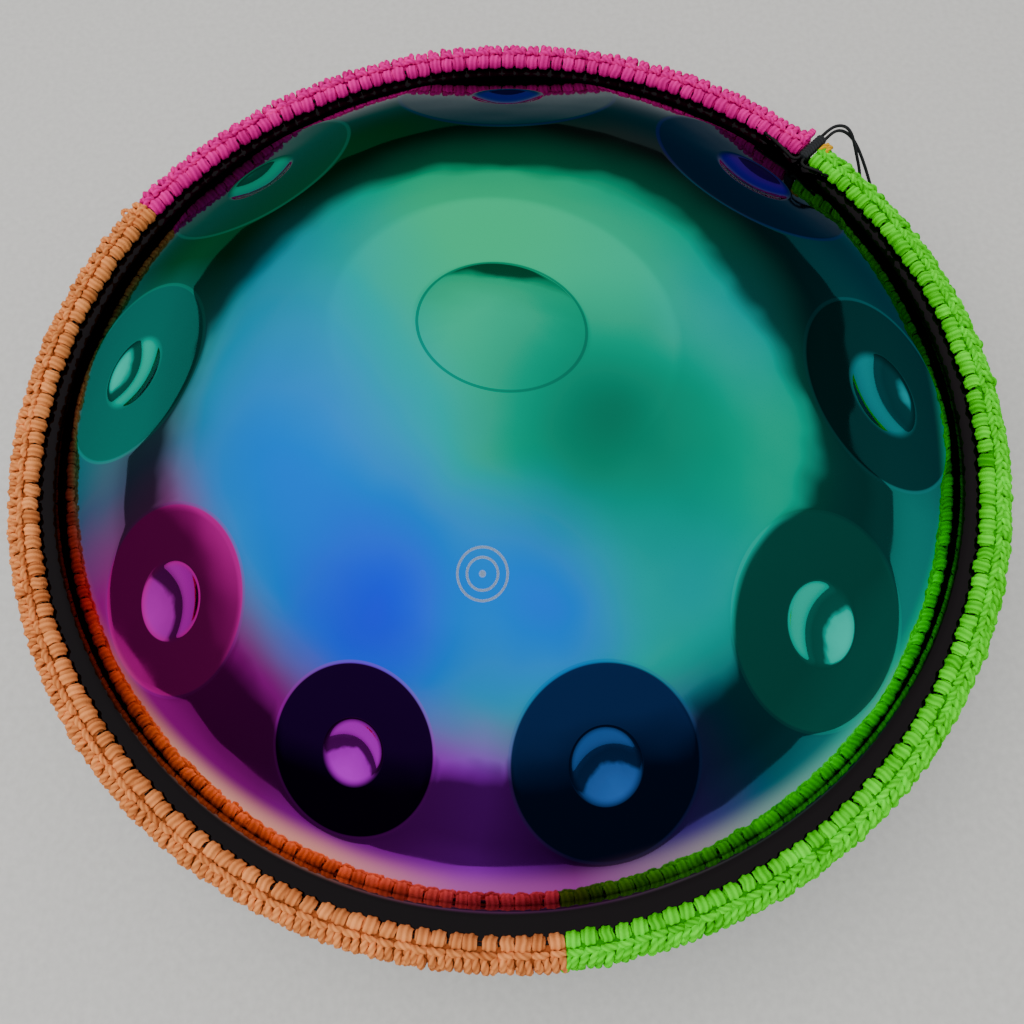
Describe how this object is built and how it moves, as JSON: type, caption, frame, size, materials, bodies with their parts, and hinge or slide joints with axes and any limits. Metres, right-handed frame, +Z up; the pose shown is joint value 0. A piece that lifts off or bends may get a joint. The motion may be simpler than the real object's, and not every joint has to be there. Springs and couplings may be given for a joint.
{
  "type": "handpan",
  "caption": "Handpan: coated steel domes glued at the rim, with oval dimpled tone fields round a raised centre note, and a knotted cord rim cover with a sliding knot.",
  "frame": {"origin": "on the upright axis, at the height of the surface that the instrument stands on", "axes": "+Z up along the upright axis, +Y away from the player, +X to the player's right"},
  "size_m": [0.55, 0.55, 0.2379],
  "materials": {
    "coated_steel": "mirror-polished steel with an interference coating that runs from teal and green at the crown to violet, crimson and gold near the rim",
    "clear_adhesive": "cured clear adhesive",
    "pink_cord": "knotted hot pink cotton cord",
    "terracotta_cord": "knotted terracotta cotton cord",
    "lime_cord": "knotted lime green cotton cord",
    "golden_cord": "golden yellow cotton cord",
    "black_cord": "braided black polyester cord"
  },
  "bodies": {
    "instrument": {"top_shell": "coated_steel", "bottom_shell": "coated_steel", "rim_adhesive": "clear_adhesive", "pink_rim_cover": "pink_cord", "terracotta_rim_cover": "terracotta_cord", "lime_rim_cover": "lime_cord", "upper_tension_cord": "black_cord", "lower_tension_cord": "black_cord", "left_tail_cord": "black_cord", "right_tail_cord": "black_cord", "pink_cord_end": "pink_cord", "lime_cord_end": "lime_cord", "terracotta_cord_end": "terracotta_cord", "golden_cord_end": "golden_cord"},
    "sliding_knot": {"closure_knot": "black_cord"}
  },
  "joints": [
    {"name": "knot_slide", "type": "slide", "parent": "instrument", "child": "sliding_knot", "axis": [0.7373, 0.6756, 0], "range_m": [0, 0.0035]}
  ]
}
